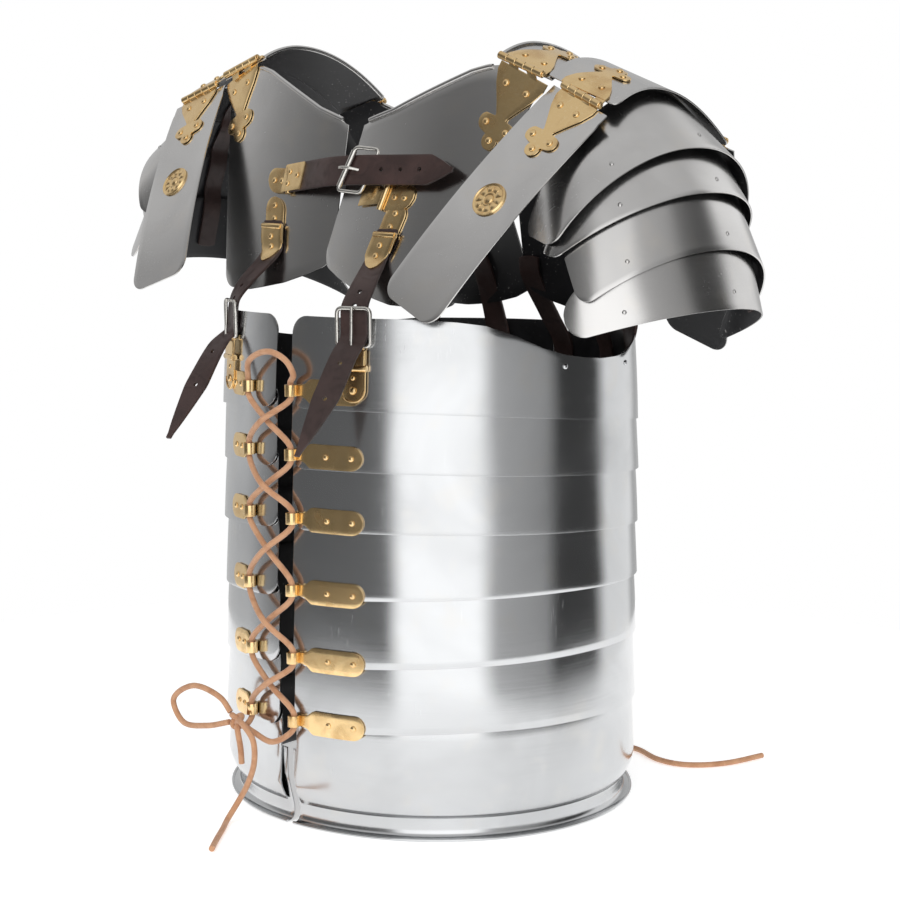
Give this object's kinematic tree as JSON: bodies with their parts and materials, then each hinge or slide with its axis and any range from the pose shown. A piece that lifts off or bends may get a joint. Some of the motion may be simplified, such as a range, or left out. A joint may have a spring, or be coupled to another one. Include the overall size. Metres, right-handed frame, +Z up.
{
  "type": "segmented plate armour",
  "caption": "Roman segmented plate cuirass of overlapping steel hoops and shoulder lames with brass hinges, leather straps and a front lace.",
  "frame": {"origin": "on the floor, below the middle of the armour's whole width and depth", "axes": "+Z up, the wearer faces -Y, the wearer's left is +X"},
  "size_m": [0.624, 0.5022, 0.6243],
  "materials": {
    "steel": "brushed",
    "satin_steel": "satin, lightly scratched",
    "brass": "polished, worn",
    "nickel": "polished",
    "leather": "smooth, worn",
    "lace": "raw, round section"
  },
  "bodies": {
    "harness": {"girth_hoop_1_left": "steel", "girth_hoop_2_left": "steel", "girth_hoop_3_left": "steel", "girth_hoop_4_left": "steel", "girth_hoop_5_left": "steel", "girth_hoop_6_left": "steel", "girth_hoop_7_left": "steel", "girth_hoop_8_left": "steel", "girth_hoop_1_right": "steel", "girth_hoop_2_right": "steel", "girth_hoop_3_right": "steel", "girth_hoop_4_right": "steel", "girth_hoop_5_right": "steel", "girth_hoop_6_right": "steel", "girth_hoop_7_right": "steel", "girth_hoop_8_right": "steel", "breastplate_left": "satin_steel", "backplate_left": "satin_steel", "mid_collar_plate_left": "satin_steel", "guard_top_left": "satin_steel", "shoulder_lame_1_left": "satin_steel", "shoulder_lame_2_left": "satin_steel", "shoulder_lame_3_left": "satin_steel", "shoulder_lame_4_left": "satin_steel", "breastplate_right": "satin_steel", "backplate_right": "satin_steel", "mid_collar_plate_right": "satin_steel", "guard_top_right": "satin_steel", "shoulder_lame_1_right": "satin_steel", "shoulder_lame_2_right": "satin_steel", "shoulder_lame_3_right": "satin_steel", "shoulder_lame_4_right": "satin_steel", "collar_hinge_left": "brass", "guard_hinge_top_leaf_left": "brass", "tie_loop_1_left": "brass", "tie_loop_2_left": "brass", "tie_loop_3_left": "brass", "tie_loop_4_left": "brass", "tie_loop_5_left": "brass", "tie_loop_6_left": "brass", "collar_hinge_right": "brass", "guard_hinge_top_leaf_right": "brass", "tie_loop_1_right": "brass", "tie_loop_2_right": "brass", "tie_loop_3_right": "brass", "tie_loop_4_right": "brass", "tie_loop_5_right": "brass", "tie_loop_6_right": "brass", "chest_buckle": "nickel", "chest_strap": "leather", "front_strap_left": "leather", "front_strap_right": "leather", "front_lace": "lace", "back_lace_tail": "lace"},
    "front_guard_left": {"guard_front_left": "satin_steel", "guard_hinge_front_leaf_left": "brass"},
    "front_guard_right": {"guard_front_right": "satin_steel", "guard_hinge_front_leaf_right": "brass"},
    "back_guard_left": {"guard_back_left": "satin_steel"},
    "back_guard_right": {"guard_back_right": "satin_steel"}
  },
  "joints": [
    {"name": "front_guard_left_hinge", "type": "hinge", "parent": "harness", "child": "front_guard_left", "pos_m": [0.2205, -0.0421, 0.57228], "axis": [-0.9172, 0.1308, 0.3763], "range_deg": [0, 55]},
    {"name": "front_guard_right_hinge", "type": "hinge", "parent": "harness", "child": "front_guard_right", "pos_m": [-0.2205, -0.0421, 0.58772], "axis": [-0.9382, -0.1338, -0.3192], "range_deg": [0, 55]},
    {"name": "back_guard_left_hinge", "type": "hinge", "parent": "harness", "child": "back_guard_left", "pos_m": [0.2205, 0.1039, 0.54848], "axis": [0.9282, 0.0984, -0.3589], "range_deg": [0, 55]},
    {"name": "back_guard_right_hinge", "type": "hinge", "parent": "harness", "child": "back_guard_right", "pos_m": [-0.2205, 0.1039, 0.56392], "axis": [0.9485, -0.1006, 0.3004], "range_deg": [0, 55]}
  ]
}
